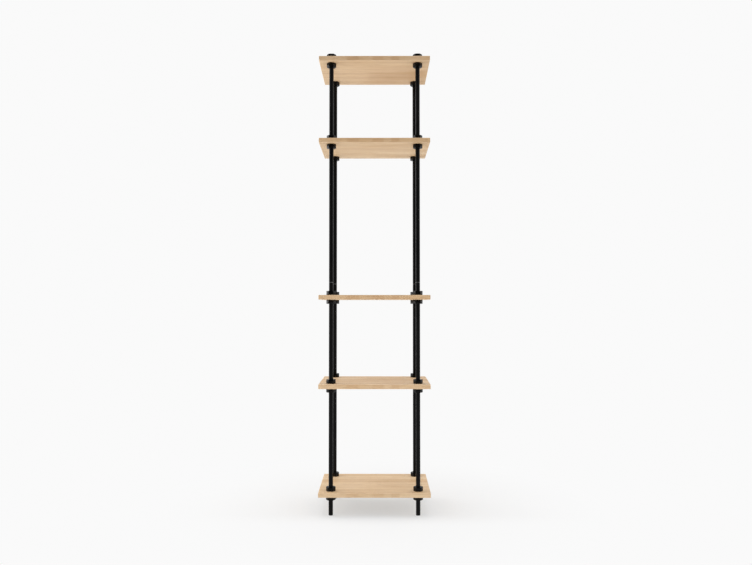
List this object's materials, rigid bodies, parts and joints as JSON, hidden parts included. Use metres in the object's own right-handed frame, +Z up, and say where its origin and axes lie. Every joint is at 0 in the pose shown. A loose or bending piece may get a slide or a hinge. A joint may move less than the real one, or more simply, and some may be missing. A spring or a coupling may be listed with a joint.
{
  "type": "pipe shelving unit",
  "caption": "Tall narrow free-standing shelving unit: round black posts pass through pale wooden boards, held at chosen heights by hexagonal locking collars above and below each board.",
  "frame": {"origin": "on the floor, under the middle of the boards", "axes": "+Z up; +X to the right seen from the front, along the boards' width; +Y to the back"},
  "size_m": [0.48, 0.36, 2],
  "materials": {
    "board": "pale oiled hardwood, grain along the width",
    "tube": "satin black powder coat",
    "collar": "satin black powder coat",
    "screw": "black oxide",
    "joiner": "turned, bare",
    "plug": "moulded, fine texture"
  },
  "bodies": {
    "posts": {"foot_front_left": "plug", "post_front_left_lower": "tube", "joiner_front_left": "joiner", "post_front_left_upper": "tube", "cap_front_left": "plug", "foot_front_right": "plug", "post_front_right_lower": "tube", "joiner_front_right": "joiner", "post_front_right_upper": "tube", "cap_front_right": "plug", "foot_back_left": "plug", "post_back_left_lower": "tube", "joiner_back_left": "joiner", "post_back_left_upper": "tube", "cap_back_left": "plug", "foot_back_right": "plug", "post_back_right_lower": "tube", "joiner_back_right": "joiner", "post_back_right_upper": "tube", "cap_back_right": "plug"},
    "shelf_1_bottom": {"shelf_1_bottom": "board", "collars_below_shelf_1_bottom": "collar", "collars_above_shelf_1_bottom": "collar", "collar_screws_below_shelf_1_bottom": "screw", "collar_screws_above_shelf_1_bottom": "screw"},
    "shelf_2": {"shelf_2": "board", "collars_below_shelf_2": "collar", "collars_above_shelf_2": "collar", "collar_screws_below_shelf_2": "screw", "collar_screws_above_shelf_2": "screw"},
    "shelf_3": {"shelf_3": "board", "collars_below_shelf_3": "collar", "collars_above_shelf_3": "collar", "collar_screws_below_shelf_3": "screw", "collar_screws_above_shelf_3": "screw"},
    "shelf_4": {"shelf_4": "board", "collars_below_shelf_4": "collar", "collars_above_shelf_4": "collar", "collar_screws_below_shelf_4": "screw", "collar_screws_above_shelf_4": "screw"},
    "shelf_5_top": {"shelf_5_top": "board", "collars_below_shelf_5_top": "collar", "collars_above_shelf_5_top": "collar", "collar_screws_below_shelf_5_top": "screw", "collar_screws_above_shelf_5_top": "screw"}
  },
  "joints": [
    {"name": "shelf_1_bottom_height", "type": "slide", "parent": "posts", "child": "shelf_1_bottom", "axis": [0, 0, 1], "range_m": [-0.06, 0.2]},
    {"name": "shelf_2_height", "type": "slide", "parent": "posts", "child": "shelf_2", "axis": [0, 0, 1], "range_m": [-0.2, 0.16]},
    {"name": "shelf_3_height", "type": "slide", "parent": "posts", "child": "shelf_3", "axis": [0, 0, 1], "range_m": [-0.16, 0.305]},
    {"name": "shelf_4_height", "type": "slide", "parent": "posts", "child": "shelf_4", "axis": [0, 0, 1], "range_m": [-0.305, 0.148]},
    {"name": "shelf_5_top_height", "type": "slide", "parent": "posts", "child": "shelf_5_top", "axis": [0, 0, 1], "range_m": [-0.148, 0]}
  ]
}
